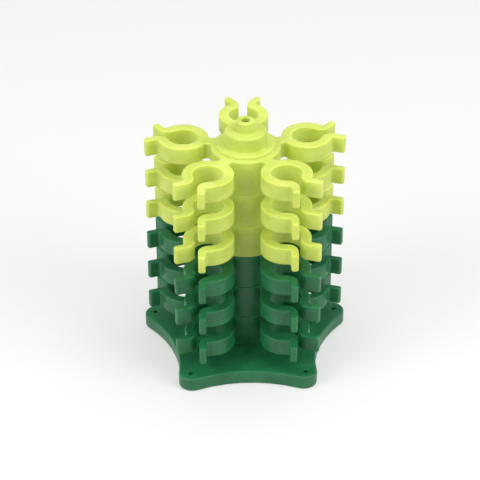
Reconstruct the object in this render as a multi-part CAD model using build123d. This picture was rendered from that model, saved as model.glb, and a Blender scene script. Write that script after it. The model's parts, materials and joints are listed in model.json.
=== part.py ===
from build123d import *

import os
from math import atan2, cos, degrees, radians, sin, sqrt

# A bobbin tower: a lobed stand carries a stack of soft wheels, and each wheel has a ring of open clips
# that snap round the thread between a bobbin's two flanges.
# Everything is in millimetres. +Z is up, the tower turns about Z, and the stand rests on z = 0.

# The stack
wheel_count = 6
clip_count = 5
first_clip_angle = 90.0
tier_pitch = 15.1

# The hub of a wheel, with the ledge round the spigot that the next hub sits on
hub_radius = 14.4
hub_edge_round = 0.25
ledge_width = 2.3

# The stepped spigot on top of the stand and of each wheel
step_radius = hub_radius - ledge_width
step_height = 1.3
plug_radius = 8.7
plug_height = 6.2
pin_radius = 3.95
pin_height = 4.5
pin_hole_radius = 1.85
step_round = 0.6
plug_round = 0.8
pin_round = 0.5

# The stepped socket under each wheel, which turns on the spigot below
plug_clearance = 0.06
loose_clearance = 0.3

# A clip, seen from above: a ring on a neck, open outwards between two rounded noses that flare into lips
clip_bore_radius = 6.2
clip_wall = 4.3
clip_height = 7.5
mouth_gap = 3.6
nose_radius = 4.5
lip_splay = 36.0
lip_length = 5.1
lip_thickness = 2.95
lip_end_round = 1.0
lip_root_round = 1.2
neck_length = 2.0
neck_width = 5.2
neck_root_round = 1.2
clip_edge_bevel = 0.4
clip_outer_radius = clip_bore_radius + clip_wall
clip_centre_radius = hub_radius + neck_length + clip_outer_radius

# The stand, a plate with one lobe under each clip, whose lobes and waists reach out beyond the clips' centres
plate_thickness = 6.2
plate_edge_round = 0.9
lobe_tip_radius = 6.5
lobe_beyond_clip = 12.4
waist_beyond_clip = 5.7
lobe_hole_radius = 1.1
lobe_hole_offset = 1.7
stand_hole_depth = 9.0
lobe_centre_radius = clip_centre_radius + lobe_beyond_clip
waist_radius = clip_centre_radius + waist_beyond_clip
lobe_hole_centre_radius = lobe_centre_radius + lobe_hole_offset

clip_angles = [first_clip_angle + 360.0 * index / clip_count for index in range(clip_count)]


def at_angle(angle):
    return Rotation(0, 0, angle)


def near(shape, points):
    return [shape.vertices().sort_by_distance(Vector(*point))[0] for point in points]


def clip_outline():
    # One clip and its neck along +X, round the origin at the ring's centre.
    # A nose touches the bore's circle from outside, so the wall runs smoothly from the bore into the lip.
    nose_y = mouth_gap / 2 + nose_radius
    nose_x = sqrt((clip_bore_radius + nose_radius) ** 2 - nose_y**2)
    nose_angle = degrees(atan2(nose_y, nose_x))
    nose_centre = Vector(nose_x, nose_y)
    along = Vector(cos(radians(lip_splay)), sin(radians(lip_splay)))
    inward = Vector(along.Y, -along.X)

    lip_start = nose_centre + inward * nose_radius
    lip_tip = lip_start + along * lip_length
    lip_back_tip = lip_tip - inward * lip_thickness

    # The lip's back runs straight until it meets the ring's outer circle
    back_line = nose_centre + inward * (nose_radius - lip_thickness)
    ahead = back_line.dot(along)
    to_circle = sqrt(ahead**2 - back_line.dot(back_line) + clip_outer_radius**2) - ahead
    root = back_line + along * to_circle
    root_angle = degrees(atan2(root.Y, root.X))

    with BuildSketch() as half:
        with BuildLine():
            CenterArc((0, 0), clip_bore_radius, nose_angle, 180 - nose_angle)
            CenterArc(nose_centre, nose_radius, nose_angle - 180, lip_splay + 90 - nose_angle)
            Line(lip_start, lip_tip)
            Line(lip_tip, lip_back_tip)
            Line(lip_back_tip, root)
            CenterArc((0, 0), clip_outer_radius, root_angle, 180 - root_angle)
            Line((-clip_outer_radius, 0), (-clip_bore_radius, 0))
        make_face()
    half_face = half.sketch
    half_face = fillet(near(half_face, [lip_tip, lip_back_tip]), lip_end_round)
    half_face = fillet(near(half_face, [root]), lip_root_round)
    return half_face + mirror(half_face, Plane.XZ)


def wheel_outline():
    neck_half = neck_width / 2
    neck_start = sqrt(hub_radius**2 - neck_half**2)
    neck_end = clip_centre_radius - sqrt(clip_outer_radius**2 - neck_half**2)
    neck_reach = clip_centre_radius - clip_bore_radius - clip_wall / 2

    neck = Pos(neck_reach / 2, 0) * Rectangle(neck_reach, neck_width)
    spoke = Circle(hub_radius) + neck + Pos(clip_centre_radius, 0) * clip_outline()
    roots = [(x, side * neck_half, 0) for x in (neck_start, neck_end) for side in (-1, 1)]
    spoke = fillet(near(spoke, roots), neck_root_round)
    return Sketch() + [at_angle(angle) * spoke for angle in clip_angles]


def rims(slab):
    return slab.faces().sort_by(Axis.Z)[0].edges() + slab.faces().sort_by(Axis.Z)[-1].edges()


def turned(corners, rounds):
    # Turns a half section about Z; rounds gives a radius for each corner that is rounded
    with BuildSketch(Plane.XZ) as section:
        with BuildLine():
            Polyline(*corners, close=True)
        make_face()
    face = section.sketch
    for (x, z), radius in rounds:
        face = fillet(near(face, [(x, 0, z)]), radius)
    return revolve(face, Axis.Z)


def spigot(seat, sunk):
    # Step, plug and pin above the seat; sunk is how far its root reaches down into its carrier
    step_top = seat + step_height
    plug_top = step_top + plug_height
    pin_top = plug_top + pin_height
    corners = [
        (0, seat - sunk),
        (step_radius, seat - sunk),
        (step_radius, step_top),
        (plug_radius, step_top),
        (plug_radius, plug_top),
        (pin_radius, plug_top),
        (pin_radius, pin_top),
        (0, pin_top),
    ]
    rounds = [
        ((step_radius, step_top), step_round),
        ((plug_radius, plug_top), plug_round),
        ((pin_radius, pin_top), pin_round),
    ]
    return turned(corners, rounds)


def socket():
    # The spigot's space, a little wider and deeper than the spigot itself
    step_depth = step_height + loose_clearance
    plug_depth = step_depth + plug_height
    pin_depth = plug_depth + pin_height
    corners = [
        (0, 0),
        (step_radius + loose_clearance, 0),
        (step_radius + loose_clearance, step_depth),
        (plug_radius + plug_clearance, step_depth),
        (plug_radius + plug_clearance, plug_depth),
        (pin_radius + loose_clearance, plug_depth),
        (pin_radius + loose_clearance, pin_depth),
        (0, pin_depth),
    ]
    return turned(corners, [])


def make_wheel():
    # Built with the hub's underside on z = 0; the clips' tops are level with the hub's ledge
    ledge = tier_pitch
    clips_bottom = ledge - clip_height
    hub_top = ledge - clip_height / 2
    hub_corners = [(0, 0), (hub_radius, 0), (hub_radius, hub_top), (0, hub_top)]
    hub = turned(hub_corners, [((hub_radius, 0), hub_edge_round)])
    clips = Pos(0, 0, clips_bottom) * extrude(wheel_outline(), clip_height)
    clips = chamfer(rims(clips), clip_edge_bevel)
    pin_hole = Pos(0, 0, ledge) * Cylinder(pin_hole_radius, 2 * (ledge + pin_height))
    return hub + clips + spigot(ledge, clip_height / 2) - socket() - pin_hole


def lobe_outline():
    # Each lobe's round tip runs into the hollow flank beside it, and both arcs are tangent where they meet.
    # The flank's centre lies on the ray halfway to the next lobe, here the X axis.
    half_turn = 180.0 / clip_count
    tip_centre = Vector(lobe_centre_radius, 0).rotate(Axis.Z, half_turn)
    reach = waist_radius - lobe_tip_radius
    flank_centre = (lobe_centre_radius**2 - reach**2) / (2 * (tip_centre.X - reach))
    flank_radius = flank_centre - waist_radius
    flank_sweep = degrees(atan2(tip_centre.Y, flank_centre - tip_centre.X))
    tip_sweep = half_turn + flank_sweep
    flank = CenterArc((flank_centre, 0), flank_radius, 180 - flank_sweep, 2 * flank_sweep)
    tip = CenterArc(tip_centre, lobe_tip_radius, -flank_sweep, 2 * tip_sweep)
    return make_face([at_angle(angle + half_turn) * arc for angle in clip_angles for arc in (flank, tip)])


def make_stand():
    plate = extrude(lobe_outline(), plate_thickness)
    plate = fillet(rims(plate), plate_edge_round)
    body = plate + spigot(plate_thickness, plate_thickness / 2)
    spigot_top = plate_thickness + step_height + plug_height + pin_height
    body -= Pos(0, 0, spigot_top) * Cylinder(pin_hole_radius, 2 * stand_hole_depth)
    for angle in clip_angles:
        drill = Cylinder(lobe_hole_radius, 3 * plate_thickness)
        body -= at_angle(angle) * Pos(lobe_hole_centre_radius, 0, 0) * drill
    return body


os.makedirs("parts", exist_ok=True)
export_step(make_stand(), "parts/stand.step")
wheel = make_wheel()
for tier in range(wheel_count):
    export_step(Pos(0, 0, plate_thickness + tier * tier_pitch) * wheel, f"parts/wheel_{tier + 1}.step")
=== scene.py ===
import json
from math import atan2, ceil, cos, pi, radians, sin, sqrt

import bpy
import numpy as np
from mathutils import Euler, Matrix, Vector
from mathutils.geometry import tessellate_polygon


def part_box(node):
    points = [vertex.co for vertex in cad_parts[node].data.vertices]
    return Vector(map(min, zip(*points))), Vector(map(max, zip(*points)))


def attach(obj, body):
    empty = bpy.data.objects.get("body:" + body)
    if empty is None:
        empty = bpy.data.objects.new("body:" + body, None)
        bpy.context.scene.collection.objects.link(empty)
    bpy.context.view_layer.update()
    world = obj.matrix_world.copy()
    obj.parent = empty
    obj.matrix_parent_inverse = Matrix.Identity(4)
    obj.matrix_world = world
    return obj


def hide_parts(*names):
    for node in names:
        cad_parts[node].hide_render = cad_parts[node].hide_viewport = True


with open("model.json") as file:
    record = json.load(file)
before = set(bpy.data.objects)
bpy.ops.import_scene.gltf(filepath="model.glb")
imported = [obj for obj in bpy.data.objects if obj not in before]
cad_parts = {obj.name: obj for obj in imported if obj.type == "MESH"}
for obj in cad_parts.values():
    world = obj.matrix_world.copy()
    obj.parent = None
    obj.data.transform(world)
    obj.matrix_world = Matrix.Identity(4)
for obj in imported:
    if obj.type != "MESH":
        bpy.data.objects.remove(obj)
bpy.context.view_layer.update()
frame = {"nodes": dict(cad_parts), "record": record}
mm = 0.001
print("stage: frame loaded,", len(frame["nodes"]), "nodes")

# A bobbin tower: six soft wheels with five open clips each, stacked on a lobed stand.
# The pieces' sizes are in millimetres, read from the frame where it states them.
mounts = {mount["name"]: mount for mount in frame["record"]["mounts"]}
firstClip = mounts["wheel_1_clip_1"]
firstAngle = atan2(firstClip["pos_m"][1], firstClip["pos_m"][0])
clipCount = sum(name.startswith("wheel_1_clip_") for name in mounts)
sector = 2 * pi / clipCount
clipAngles = [firstAngle + n * sector for n in range(clipCount)]
wheelNames = sorted(name for name in frame["nodes"] if name.startswith("wheel_"))
wheelFoot = {name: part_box(name)[0].z / mm for name in wheelNames}

# How finely the meshes are divided, in millimetres, radians and counts. A support row lies just beside each
# round edge and keeps the flats flat.
mesh = {
    "lineStep": 1.2,
    "arcStep": radians(7),
    "rimSteps": 5,
    "bossCount": 160,
    "holeCount": 40,
    "support": 0.15,
    "leastArea": 1e-9,
}


# Lines and arcs of an outline give their points and outward normals, as one array of x, y, nx, ny.
# A line's points are start + share (end - start), with share from 0 to 1.
def straight(start, end, normal):
    start, end = np.array(start, float), np.array(end, float)
    count = max(1, ceil(np.linalg.norm(end - start) / mesh["lineStep"]))
    share = np.linspace(0, 1, count + 1)[:, None]
    return np.hstack([start + share * (end - start), np.tile(np.array(normal, float), (count + 1, 1))])


# x = cx + r cos a, y = cy + r sin a; the normal points away from the centre, or to it in a hollow
def arc(centre, radius, startAngle, endAngle, hollow=False):
    count = max(2, ceil(abs(endAngle - startAngle) / mesh["arcStep"]))
    angle = np.linspace(startAngle, endAngle, count + 1)
    spoke = np.column_stack([np.cos(angle), np.sin(angle)])
    return np.hstack([np.array(centre, float) + radius * spoke, -spoke if hollow else spoke])


# x' = x cos a - y sin a, y' = x sin a + y cos a, for points and normals alike
def turned(path, angle):
    c, s = cos(angle), sin(angle)
    spin = np.array([[c, s], [-s, c]])
    return np.hstack([path[:, :2] @ spin, path[:, 2:] @ spin])


# Joins stretches that end where the next begins, keeping one point of each pair
def joined(stretches):
    return np.vstack([stretch[:-1] for stretch in stretches])


# From the X axis, in radians
def angleOf(vector):
    return atan2(vector[1], vector[0])


# Angles that share a full turn evenly, without the end that repeats the start
def fullTurn(count):
    return np.linspace(0, 2 * pi, count, endpoint=False)


# A half section's corners are rounded: x, z = corner - d1 r (1 - sin t) + d2 r (1 - cos t), with d1 and d2
# the ways into and out of the corner and t from 0 to 90 degrees. Each arc has a support point on either side.
def softSection(corners):
    spots = np.array([corner[:2] for corner in corners], float)
    quarter = np.linspace(0, pi / 2, mesh["rimSteps"] + 1)[:, None]
    section = [spots[:1]]
    for before, (x, z, radius), after in zip(spots, corners[1:-1], spots[2:]):
        corner = np.array([x, z])
        into = (corner - before) / np.linalg.norm(corner - before)
        out = (after - corner) / np.linalg.norm(after - corner)
        bend = corner - into * radius * (1 - np.sin(quarter)) + out * radius * (1 - np.cos(quarter))
        reach = radius + mesh["support"]
        section += [corner[None] - into * reach, bend, corner[None] + out * reach]
    return np.vstack(section + [spots[-1:]])


# A rim seen in section, from the flat over the edge: inset r (1 - sin t) and drop r (1 - cos t), with a
# support row on either side
def rimRows(radius):
    quarter = np.linspace(0, pi / 2, mesh["rimSteps"] + 1)
    insets = np.concatenate([[radius + mesh["support"]], radius * (1 - np.sin(quarter)), [0]])
    drops = np.concatenate([[0], radius * (1 - np.cos(quarter)), [radius + mesh["support"]]])
    return insets[:, None], drops[:, None]


# x, y = outline - inset * normal: one row of the outline for each inset and height
def outlineRows(outline, insets, heights):
    xy = outline[None, :, :2] - np.asarray(insets)[..., None] * outline[None, :, 2:]
    return np.concatenate([xy, np.broadcast_to(heights, xy.shape[:2])[..., None]], axis=-1)


# x = cx + r cos a, y = cy + r sin a, z = z: a section carried round the upright axis through the centre
def turnedPoints(section, angles, centre=(0, 0)):
    radius, height = section[:, :1], section[:, 1:]
    return np.stack([
        centre[0] + radius * np.cos(angles),
        centre[1] + radius * np.sin(angles),
        np.tile(height, len(angles)),
    ], axis=-1)


# A skin collects the points and faces of one closed piece
def newSkin():
    return {"points": [], "quads": [], "triangles": [], "count": 0}


# Gives the new points' ids, in the points' own rows
def addPoints(skin, points):
    points = np.asarray(points, float)
    skin["points"].append(points.reshape(-1, 3))
    ids = skin["count"] + np.arange(points.size // 3).reshape(points.shape[:-1])
    skin["count"] += points.size // 3
    return ids


# Quads between neighbouring rows of ids, whose columns close round. Their normals are the way from row to row
# crossed with the way round.
def addGrid(skin, ids):
    around = np.roll(ids, -1, axis=1)
    quads = np.stack([ids[:-1], ids[1:], around[1:], around[:-1]], axis=-1)
    skin["quads"].append(quads.reshape(-1, 4))


# A level face with round or shaped holes, cut into triangles that all face up or all face down
def addCap(skin, loops, up):
    points = np.vstack(skin["points"])
    outlines = [[Vector((points[i, 0], points[i, 1], 0)) for i in loop] for loop in loops]
    corners = np.concatenate(loops)[np.array(tessellate_polygon(outlines))]
    a, b, c = (points[corners[:, n], :2] for n in range(3))
    area = (b[:, 0] - a[:, 0]) * (c[:, 1] - a[:, 1]) - (b[:, 1] - a[:, 1]) * (c[:, 0] - a[:, 0])
    turnedOver = (area > 0) != up
    corners[turnedOver] = corners[turnedOver][:, ::-1]
    skin["triangles"].append(corners[np.abs(area) > mesh["leastArea"]])


# One mesh in metres, with place = (point + lift upwards) * mm
def makePiece(name, skin, lift=0.0):
    points = np.vstack(skin["points"])
    points[:, 2] += lift
    quads, triangles = np.vstack(skin["quads"]), np.vstack(skin["triangles"])
    shape = bpy.data.meshes.new(name)
    shape.from_pydata((points * mm).tolist(), [], quads.tolist() + triangles.tolist())
    shape.shade_smooth()
    shape.validate()
    piece = bpy.data.objects.new(name, shape)
    bpy.context.scene.collection.objects.link(piece)
    return piece


# The step, plug and pin on top of the stand and of each wheel, as radii and heights
spigot = {
    "step": 12.1,
    "stepHeight": 1.3,
    "stepRound": 0.6,
    "plug": mounts["top_plug"]["dims"]["r_mm"],
    "plugHeight": 6.2,
    "plugRound": 0.8,
    "pin": 3.95,
    "pinHeight": 4.5,
    "pinRound": 0.5,
    "hole": 1.85,
    "holeRound": 0.2,
    "footRound": 0.3,
}


# From the rim of the pin's hole down to the seat, and out past the last round
def spigotCorners(seat):
    stepTop = seat + spigot["stepHeight"]
    plugTop = stepTop + spigot["plugHeight"]
    pinTop = plugTop + spigot["pinHeight"]
    return [
        (spigot["hole"], pinTop, spigot["holeRound"]),
        (spigot["pin"], pinTop, spigot["pinRound"]),
        (spigot["pin"], plugTop, spigot["footRound"]),
        (spigot["plug"], plugTop, spigot["plugRound"]),
        (spigot["plug"], stepTop, spigot["footRound"]),
        (spigot["step"], stepTop, spigot["stepRound"]),
        (spigot["step"], seat, spigot["footRound"]),
        (spigot["step"] + 2 * spigot["footRound"], seat, 0),
    ]


# A clip is a ring on a neck, open outwards between two noses that flare into lips
clip = {
    "centre": Vector(firstClip["pos_m"][:2]).length / mm,
    "bore": firstClip["dims"]["r_mm"],
    "wall": 4.3,
    "height": 7.5,
    "mouth": 3.6,
    "nose": 4.5,
    "splay": radians(36),
    "lipLength": 5.1,
    "lipThickness": 2.95,
    "lipEndRound": 1.0,
    "lipRootRound": 1.2,
    "neckHalf": 2.6,
    "neckRound": 1.2,
    "rimRound": 0.55,
}
hub = {"radius": 14.4, "height": wheelFoot["wheel_2"] - wheelFoot["wheel_1"], "bottomRound": 0.25}
socket = {"plugRoom": 0.06, "looseRoom": 0.3}


# Half of a wheel's outline on one side of an arm that lies along +X, from midway to the next arm to the
# bore's back. Every bend is an arc: hub, neck fillets, ring, lip's root, lip's end corners, nose and bore.
def halfArm():
    ringCentre = np.array([clip["centre"], 0.0])
    outer = clip["bore"] + clip["wall"]
    along = np.array([cos(clip["splay"]), sin(clip["splay"])])
    away = np.array([-along[1], along[0]])
    neck, neckRound = clip["neckHalf"], clip["neckRound"]
    endRound, rootRound = clip["lipEndRound"], clip["lipRootRound"]

    # The neck's fillets touch its side and the circle of the hub or the ring
    side = neck + neckRound
    hubFillet = np.array([sqrt((hub["radius"] + neckRound) ** 2 - side**2), side])
    ringFillet = np.array([clip["centre"] - sqrt((outer + neckRound) ** 2 - side**2), side])

    # The nose touches the bore's circle from outside, half a mouth and its own radius off the middle line
    noseY = clip["mouth"] / 2 + clip["nose"]
    nose = ringCentre + np.array([sqrt((clip["bore"] + clip["nose"]) ** 2 - noseY**2), noseY])
    faceStart = nose - away * clip["nose"]
    tip = faceStart + along * clip["lipLength"]
    backTip = tip + away * clip["lipThickness"]

    # The root's arc touches the ring's outer circle and the lip's back
    rootLine = nose - away * (clip["nose"] - clip["lipThickness"] - rootRound) - ringCentre
    ahead = rootLine @ along
    toCircle = sqrt(ahead**2 - rootLine @ rootLine + (outer + rootRound) ** 2) - ahead
    rootFillet = ringCentre + rootLine + along * toCircle
    backCorner = backTip - (along + away) * endRound
    faceCorner = tip - (along - away) * endRound

    noseTurn = angleOf(ringCentre - nose)
    return [
        arc((0, 0), hub["radius"], sector / 2, angleOf(hubFillet)),
        arc(hubFillet, neckRound, angleOf(-hubFillet), -pi / 2, hollow=True),
        straight((hubFillet[0], neck), (ringFillet[0], neck), (0, 1)),
        arc(ringFillet, neckRound, -pi / 2, angleOf(ringCentre - ringFillet), hollow=True),
        arc(ringCentre, outer, angleOf(ringFillet - ringCentre), angleOf(rootFillet - ringCentre)),
        arc(rootFillet, rootRound, angleOf(ringCentre - rootFillet), angleOf(-away), hollow=True),
        straight(rootFillet - away * rootRound, backCorner + away * endRound, away),
        arc(backCorner, endRound, angleOf(away), angleOf(along)),
        straight(backCorner + along * endRound, faceCorner + along * endRound, along),
        arc(faceCorner, endRound, angleOf(along), angleOf(-away)),
        straight(faceCorner - away * endRound, faceStart, -away),
        arc(nose, clip["nose"], angleOf(-away), noseTurn),
        arc(ringCentre, clip["bore"], noseTurn + pi, pi, hollow=True),
    ]


# Down the hub's wall, round its foot and up through the stepped socket to the pin's hole
def socketCorners(wallTop):
    stepDepth = spigot["stepHeight"] + socket["looseRoom"]
    plugDepth = stepDepth + spigot["plugHeight"]
    pinDepth = plugDepth + spigot["pinHeight"]
    stepRoom = spigot["step"] + socket["looseRoom"]
    plugRoom = spigot["plug"] + socket["plugRoom"]
    pinRoom = spigot["pin"] + socket["looseRoom"]
    return [
        (hub["radius"], wallTop, 0),
        (hub["radius"], 0, hub["bottomRound"]),
        (stepRoom, 0, hub["bottomRound"]),
        (stepRoom, stepDepth, spigot["footRound"]),
        (plugRoom, stepDepth, spigot["footRound"]),
        (plugRoom, plugDepth, spigot["footRound"]),
        (pinRoom, plugDepth, spigot["footRound"]),
        (pinRoom, pinDepth, spigot["footRound"]),
        (spigot["hole"], pinDepth, spigot["holeRound"]),
    ]


# A wheel with its foot at height 0. The arms' tops are level with the ledge that the next wheel sits on.
# Rows of the outline make the arms, one turned section makes the hub, and caps close the level faces.
def wheelSkin():
    halves = halfArm()
    half = np.vstack([joined(halves), halves[-1][-1:]])
    mirrored = half * np.array([1, -1, 1, -1])
    arm = np.vstack([mirrored, half[::-1][1:-1]])
    outline = np.vstack([turned(arm, angle) for angle in clipAngles])
    ledge = hub["height"]
    armBottom = ledge - clip["height"]

    skin = newSkin()
    insets, drops = rimRows(clip["rimRound"])
    topRows = outlineRows(outline, insets, ledge - drops)

    # Under the arms the rim is round too. It fades out where the arm runs into the hub's wall, and there the
    # last row lies lower.
    grown = np.clip((np.linalg.norm(outline[:, :2], axis=1) - hub["radius"]) / clip["rimRound"], 0, 1)
    lowHeights = np.tile(armBottom + drops[::-1], len(outline))
    lowHeights[-1] -= mesh["support"] * (1 - grown)
    lowRows = outlineRows(outline, insets[::-1] * grown, lowHeights)
    rows = addPoints(skin, np.concatenate([topRows, lowRows]))
    addGrid(skin, rows)

    # The hub's ring at the arms' underside takes the outline's own points between the arms and new ones
    # across each arm's root, and the arm's underside is closed up to them
    armPoints, hubPoints = len(arm), len(halves[0]) - 1
    rootTurn = angleOf(halves[0][-1][:2])
    rootAngles = np.linspace(-rootTurn, rootTurn, ceil(2 * rootTurn / mesh["arcStep"]) + 1)[1:-1]
    root = np.array([[hub["radius"], armBottom - mesh["support"]]])
    ringIds = []
    for n, angle in enumerate(clipAngles):
        armIds = rows[-1][n * armPoints:(n + 1) * armPoints]
        rootIds = addPoints(skin, turnedPoints(root, rootAngles + angle))[0]
        ringIds += [armIds[:hubPoints + 1], rootIds, armIds[armPoints - hubPoints:]]
        underside = np.concatenate([armIds[hubPoints:armPoints - hubPoints + 1], rootIds[::-1]])
        addCap(skin, [underside], up=False)
    ring = np.concatenate(ringIds)

    # From that ring one turned section runs down, up through the socket and the pin's hole, and out to the
    # ledge
    ringPoints = np.vstack(skin["points"])[ring]
    ringAngles = np.arctan2(ringPoints[:, 1], ringPoints[:, 0])
    section = softSection(socketCorners(armBottom) + spigotCorners(ledge))
    inner = addPoints(skin, turnedPoints(section[1:], ringAngles))
    addGrid(skin, np.vstack([ring[None], inner]))
    addCap(skin, [rows[0], inner[-1]], up=True)
    return skin


# The stand is a plate with one lobe under each clip, and a small hole near the tip of each lobe
stand = {
    "thickness": wheelFoot["wheel_1"],
    "tip": 5.7,
    "tipCentre": 39.8,
    "waist": 33.0,
    "rimRound": 0.9,
    "lobeHole": mounts["stand_holes"]["dims"]["hole_r_mm"],
    "lobeHoleCentre": mounts["stand_holes"]["dims"]["pcd_mm"] / 2,
    "lobeHoleRound": 0.15,
    "lobeHoleFlat": 0.5,
    "pinHoleDepth": 9.0,
}


# Each lobe's round tip runs into the hollow flank beside it, and both arcs share a tangent.
# The flank's centre lies midway between two lobes, at distance d with d - radius = waist.
def standOutline():
    tip = stand["tipCentre"] * np.array([cos(sector / 2), sin(sector / 2)])
    reach = stand["waist"] - stand["tip"]
    flank = (stand["tipCentre"] ** 2 - reach**2) / (2 * (tip[0] - reach))
    sweep = atan2(tip[1], flank - tip[0])
    hollow = arc((flank, 0), flank - stand["waist"], pi + sweep, pi - sweep, hollow=True)
    lobe = arc(tip, stand["tip"], -sweep, sector + sweep)
    side = joined([hollow, lobe])
    return np.vstack([turned(side, angle + sector / 2) for angle in clipAngles])


# The stand lies on height 0. Rows of the outline make its rim, turned sections make the boss and the lobes'
# holes, and caps close the top and the bottom between them.
def standSkin():
    top = stand["thickness"]
    outline = standOutline()
    skin = newSkin()
    insets, drops = rimRows(stand["rimRound"])
    topRows = outlineRows(outline, insets, top - drops)
    lowRows = outlineRows(outline, insets[::-1], drops[::-1])
    rows = addPoints(skin, np.concatenate([topRows, lowRows]))
    addGrid(skin, rows)

    # The pin's hole is blind here. Its floor starts halfway out, and a cap closes the middle.
    pinTop = top + spigot["stepHeight"] + spigot["plugHeight"] + spigot["pinHeight"]
    holeFloor = pinTop - stand["pinHoleDepth"]
    floorCorners = [(spigot["hole"] / 2, holeFloor, 0), (spigot["hole"], holeFloor, spigot["holeRound"])]
    bossSection = softSection(floorCorners + spigotCorners(top))
    boss = addPoints(skin, turnedPoints(bossSection, fullTurn(mesh["bossCount"])))
    addGrid(skin, boss)
    addCap(skin, [boss[0]], up=True)

    drill, flat, rim = stand["lobeHole"], stand["lobeHole"] + stand["lobeHoleFlat"], stand["lobeHoleRound"]
    wall = softSection([(flat, 0, 0), (drill, 0, rim), (drill, top, rim), (flat, top, 0)])
    holes = []
    for angle in clipAngles:
        centre = stand["lobeHoleCentre"] * np.array([cos(angle), sin(angle)])
        hole = addPoints(skin, turnedPoints(wall, fullTurn(mesh["holeCount"]), centre))
        addGrid(skin, hole)
        holes.append(hole)
    addCap(skin, [rows[0], boss[-1]] + [hole[-1] for hole in holes], up=True)
    addCap(skin, [rows[-1]] + [hole[0] for hole in holes], up=False)
    return skin


pieces = {name: makePiece(name + "_soft", wheelSkin(), wheelFoot[name]) for name in wheelNames}
pieces["stand"] = makePiece("stand_soft", standSkin())
for name, piece in pieces.items():
    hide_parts(name)
    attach(piece, name)
print("stage: pieces made,", {name: len(piece.data.polygons) for name, piece in pieces.items()})


# The sRGB curve, from a hex colour to linear red, green, blue and alpha
def toLinear(colour):
    parts = np.array([int(colour[n:n + 2], 16) / 255 for n in (1, 3, 5)])
    return [*np.where(parts <= 0.04045, parts / 12.92, ((parts + 0.055) / 1.055) ** 2.4).tolist(), 1.0]


# Adds a node with its settings, and links (input, from node, output)
def addNode(material, kind, settings=None, links=()):
    tree = material.node_tree
    node = tree.nodes.new(kind)
    for key, value in (settings or {}).items():
        if key in node.inputs:
            node.inputs[key].default_value = value
        else:
            setattr(node, key, value)
    for key, source, output in links:
        tree.links.new(source.outputs[output], node.inputs[key])
    return node


def newMaterial(name):
    material = bpy.data.materials.new(name)
    material.use_nodes = True
    material.node_tree.nodes.clear()
    return material


# What both colours share, sizes in millimetres. The tool's grain is about 0.1 mm on such mouldings and is
# drawn coarser, so that it shows. At the hub's wall light reaches only hubReach of its full way, and all of
# it hubFade further out.
elastomer = {
    "cloudSize": 9.0,
    "cloudDetail": 3.0,
    "cloudRoughness": 0.55,
    "cloudEdges": (0.32, 0.68),
    "sheenSpread": 0.05,
    "grainSize": 0.5,
    "grainDetail": 2.0,
    "grainDepth": 0.02,
    "grainStrength": 0.25,
    "hubReach": 0.15,
    "hubFade": 2.5,
    "ior": 1.49,
}


# Thermoplastic elastomer, injection moulded in a spark-eroded tool: a soft satin skin that lets light a
# little way in, so that thin lips and rims glow, with faintly cloudy pigment and a fine grain from the tool
def mouldedElastomer(recipe):
    material = newMaterial(recipe["name"])
    place = addNode(material, "ShaderNodeTexCoord")
    cloud = addNode(material, "ShaderNodeTexNoise", {
        "Scale": 1 / (elastomer["cloudSize"] * mm),
        "Detail": elastomer["cloudDetail"],
        "Roughness": elastomer["cloudRoughness"],
    }, [("Vector", place, "Object")])
    pigment = addNode(material, "ShaderNodeValToRGB", None, [("Fac", cloud, "Fac")])
    colours = (recipe["deep"], recipe["pale"])
    for stop, position, colour in zip(pigment.color_ramp.elements, elastomer["cloudEdges"], colours):
        stop.position = position
        stop.color = toLinear(colour)
    sheen = addNode(material, "ShaderNodeMapRange", {
        "To Min": recipe["roughness"] - elastomer["sheenSpread"],
        "To Max": recipe["roughness"] + elastomer["sheenSpread"],
    }, [("Value", cloud, "Fac")])
    grain = addNode(material, "ShaderNodeTexNoise", {
        "Scale": 1 / (elastomer["grainSize"] * mm),
        "Detail": elastomer["grainDetail"],
    }, [("Vector", place, "Object")])
    relief = addNode(material, "ShaderNodeBump", {
        "Strength": elastomer["grainStrength"],
        "Distance": elastomer["grainDepth"] * mm,
    }, [("Height", grain, "Fac")])

    # The plug fills the hub like solid plastic, so light finds a thin wall in the arms alone: how far it
    # reaches depends on the distance from the tower's axis
    flat = addNode(material, "ShaderNodeVectorMath", {"operation": "MULTIPLY"}, [(0, place, "Object")])
    flat.inputs[1].default_value = (1, 1, 0)
    outward = addNode(material, "ShaderNodeVectorMath", {"operation": "LENGTH"}, [(0, flat, "Vector")])
    reach = addNode(material, "ShaderNodeMapRange", {
        "From Min": hub["radius"] * mm,
        "From Max": (hub["radius"] + elastomer["hubFade"]) * mm,
        "To Min": elastomer["hubReach"] * mm,
        "To Max": mm,
    }, [("Value", outward, "Value")])
    shader = addNode(material, "ShaderNodeBsdfPrincipled", {
        "IOR": elastomer["ior"],
        "Subsurface Weight": recipe["translucency"],
        "Subsurface Radius": recipe["reach"],
    }, [
        ("Base Color", pigment, "Color"),
        ("Roughness", sheen, "Result"),
        ("Normal", relief, "Normal"),
        ("Subsurface Scale", reach, "Result"),
    ])
    addNode(material, "ShaderNodeOutputMaterial", None, [("Surface", shader, "BSDF")])
    return material


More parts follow.
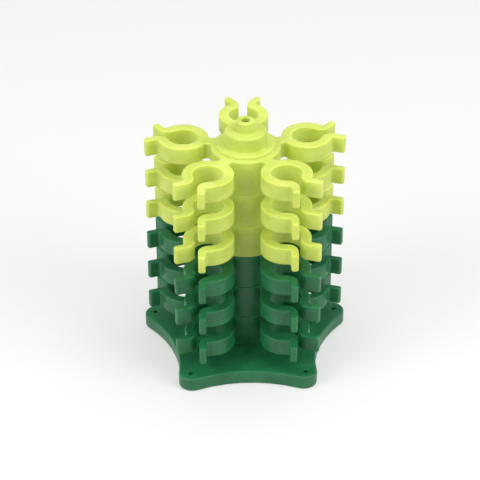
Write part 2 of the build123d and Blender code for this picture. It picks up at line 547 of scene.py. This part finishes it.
# How far red, green and blue light reach into the arms is in millimetres
limeRecipe = {
    "name": "mouldedElastomerLime",
    "deep": "#CBD962",
    "pale": "#DCE87A",
    "roughness": 0.42,
    "translucency": 1.0,
    "reach": (3.0, 3.0, 1.2),
}
greenRecipe = {
    "name": "mouldedElastomerBottleGreen",
    "deep": "#1A6A42",
    "pale": "#27804F",
    "roughness": 0.40,
    "translucency": 0.8,
    "reach": (0.6, 2.4, 1.3),
}
recipes = {"lime_plastic": limeRecipe, "dark_green_plastic": greenRecipe}
slotOf = {part["node"]: part["material_slot"] for part in frame["record"]["subparts"]}
finishes = {slot: mouldedElastomer(recipe) for slot, recipe in recipes.items()}
for name, piece in pieces.items():
    piece.data.materials.append(finishes[slotOf[name]])
print("stage: finishes made,", sorted(recipe["name"] for recipe in recipes.values()))


# A studio table of matt board, its side in metres
table = {"size": 12.0, "colour": "#BFBFBD", "roughness": 0.9, "glow": 0.38}


# The board itself is grey, so it throws little light up under the tiers. A glow that only the camera,
# reflections and clear plastic see takes it to white and keeps the shadow.
def mattBoard():
    material = newMaterial("mattBoard")
    board = addNode(material, "ShaderNodeBsdfPrincipled", {
        "Base Color": toLinear(table["colour"]),
        "Roughness": table["roughness"],
    })
    ray = addNode(material, "ShaderNodeLightPath")
    seen = addNode(material, "ShaderNodeMath", {"operation": "MAXIMUM"}, [
        (0, ray, "Is Camera Ray"),
        (1, ray, "Is Glossy Ray"),
    ])
    through = addNode(material, "ShaderNodeMath", {"operation": "MAXIMUM"}, [
        (0, seen, "Value"),
        (1, ray, "Is Transmission Ray"),
    ])
    level = addNode(material, "ShaderNodeMath", {"operation": "MULTIPLY"}, [(0, through, "Value")])
    level.inputs[1].default_value = table["glow"]
    glow = addNode(material, "ShaderNodeEmission", {"Color": (1, 1, 1, 1)}, [("Strength", level, "Value")])
    both = addNode(material, "ShaderNodeAddShader", None, [(0, board, "BSDF"), (1, glow, "Emission")])
    addNode(material, "ShaderNodeOutputMaterial", None, [("Surface", both, "Shader")])
    return material


def makeTable():
    half = table["size"] / 2
    corners = [(-half, -half, 0), (half, -half, 0), (half, half, 0), (-half, half, 0)]
    shape = bpy.data.meshes.new("table")
    shape.from_pydata(corners, [], [(0, 1, 2, 3)])
    shape.materials.append(mattBoard())
    top = bpy.data.objects.new("table", shape)
    bpy.context.scene.collection.objects.link(top)


# Soft boxes in metres and watts, which all face the tower's middle, and the level of the white surround
lamps = {
    "overhead": {"place": (0.1, 0.0, 1.1), "size": 1.2, "power": 7.7},
    "left": {"place": (-0.95, -0.55, 0.7), "size": 0.8, "power": 8.3},
    "right": {"place": (0.95, -0.55, 0.7), "size": 0.8, "power": 7.9},
}
surround = 0.28
towerMiddle = Vector((0, 0, 0.05))


# A lamp shines against its own Z axis, so that axis points from the tower's middle to the lamp
def makeLamps():
    for name, lamp in lamps.items():
        light = bpy.data.lights.new(name, "AREA")
        light.energy = lamp["power"]
        light.size = lamp["size"]
        holder = bpy.data.objects.new(name, light)
        holder.location = lamp["place"]
        holder.rotation_euler = (Vector(lamp["place"]) - towerMiddle).to_track_quat("Z", "Y").to_euler()
        bpy.context.scene.collection.objects.link(holder)
    world = bpy.data.worlds.new("surround")
    bpy.context.scene.world = world
    world.use_nodes = True
    background = world.node_tree.nodes["Background"]
    background.inputs["Color"].default_value = (1, 1, 1, 1)
    background.inputs["Strength"].default_value = surround


# The photograph's camera, in millimetres: the point it looks at, its distance from there, lens and sensor
camera = {
    "aim": (-2.33, 1.15, 50.13),
    "distance": 830.3,
    "azimuth": radians(-1.69),
    "elevation": radians(32.7),
    "roll": radians(-0.09),
    "lens": 147.26,
    "sensor": 36.0,
}


# place = aim + distance * z, with z the camera's own Z axis, which points back along the lens
def makeCamera():
    lens = bpy.data.cameras.new("camera")
    lens.lens = camera["lens"]
    lens.sensor_width = camera["sensor"]
    level = Euler((pi / 2 - camera["elevation"], 0, camera["azimuth"])).to_matrix()
    turn = level @ Matrix.Rotation(camera["roll"], 3, "Z")
    holder = bpy.data.objects.new("camera", lens)
    holder.location = (Vector(camera["aim"]) + turn.col[2] * camera["distance"]) * mm
    holder.rotation_euler = turn.to_euler()
    bpy.context.scene.collection.objects.link(holder)
    bpy.context.scene.camera = holder


makeTable()
makeLamps()
makeCamera()
bpy.context.scene.view_settings.view_transform = "Standard"
print("stage: table, lamps and camera set")
